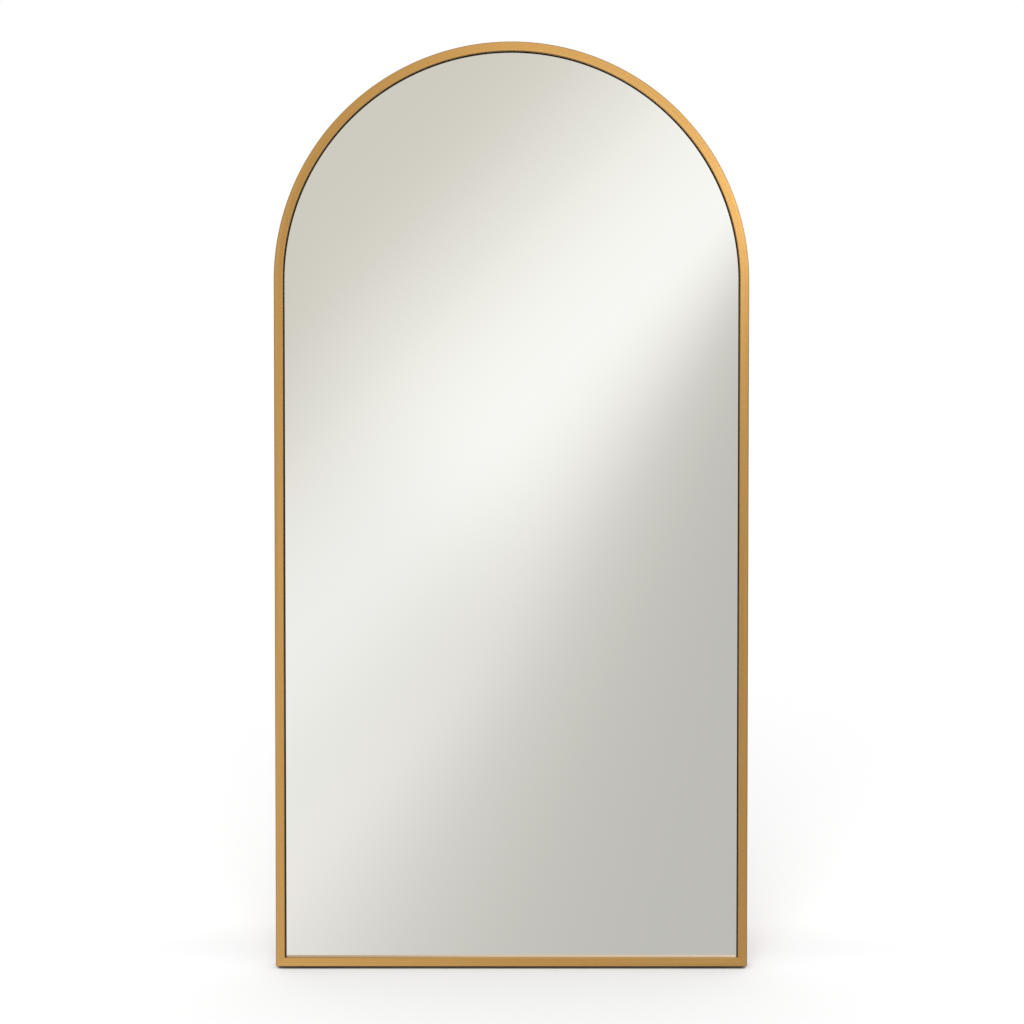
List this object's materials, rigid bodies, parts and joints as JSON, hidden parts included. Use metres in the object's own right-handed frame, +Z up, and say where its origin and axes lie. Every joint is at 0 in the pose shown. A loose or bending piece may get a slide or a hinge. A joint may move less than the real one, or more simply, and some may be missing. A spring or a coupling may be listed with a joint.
{
  "type": "leaning floor mirror",
  "caption": "Arched full-length floor mirror in a thin bent metal frame, leaning back on a rear stand that folds flat, with rings for hanging.",
  "frame": {"origin": "on the floor, under the middle of the standing mirror's outline", "axes": "+X to the right seen from the front, +Y to the back, +Z up; the mirror faces -Y and leans back 7 degrees"},
  "size_m": [0.914, 0.2804, 1.7756],
  "materials": {
    "gold_metal": "satin brushed gold anodised",
    "mirror": "polished silvered glass",
    "black_gasket": "matt black",
    "film": "satin grey film",
    "hardboard": "smooth brown hardboard",
    "foam": "matt black foam",
    "white_plastic": "matt",
    "cast_alloy": "as cast",
    "black_steel": "fine textured black powder coat",
    "zinc_steel": "bright zinc plated",
    "black_rubber": "matt"
  },
  "bodies": {
    "panel": {"hoop_rail": "gold_metal", "bottom_rail": "gold_metal", "corner_keys": "cast_alloy", "corner_plates": "zinc_steel", "corner_plate_screws": "zinc_steel", "front_gasket": "black_gasket", "mirror_glass": "mirror", "safety_film": "film", "backing_board": "hardboard", "packing_strips": "foam", "setting_blocks": "white_plastic", "hanger_rail": "black_steel", "stand_rail": "black_steel", "lower_rail": "black_steel", "rail_screws": "zinc_steel", "hanger_straps": "zinc_steel", "hanger_screws": "zinc_steel", "tether_tab": "zinc_steel", "tether_screws": "zinc_steel", "wall_bumpers": "black_rubber", "floor_pads": "black_rubber", "hinge_bracket_left": "black_steel", "hinge_bracket_right": "black_steel", "hinge_bracket_screws": "zinc_steel", "hinge_pins": "zinc_steel", "pin_clips": "zinc_steel"},
    "stand": {"stand_tube": "black_steel", "stand_ends": "zinc_steel", "stand_rivets": "zinc_steel", "stand_sleeves": "black_rubber"},
    "ring_left": {"hanger_ring_left": "zinc_steel"},
    "ring_right": {"hanger_ring_right": "zinc_steel"}
  },
  "joints": [
    {"name": "stand_fold", "type": "hinge", "parent": "panel", "child": "stand", "pos_m": [0, 0.02607, 0.99217], "axis": [1, 0, 0], "range_deg": [-13, 0]},
    {"name": "ring_left_swing", "type": "hinge", "parent": "panel", "child": "ring_left", "pos_m": [-0.28, 0.05066, 1.28435], "axis": [1, 0, 0], "range_deg": [-7, 173]},
    {"name": "ring_right_swing", "type": "hinge", "parent": "panel", "child": "ring_right", "pos_m": [0.28, 0.05066, 1.28435], "axis": [1, 0, 0], "range_deg": [-7, 173]}
  ]
}
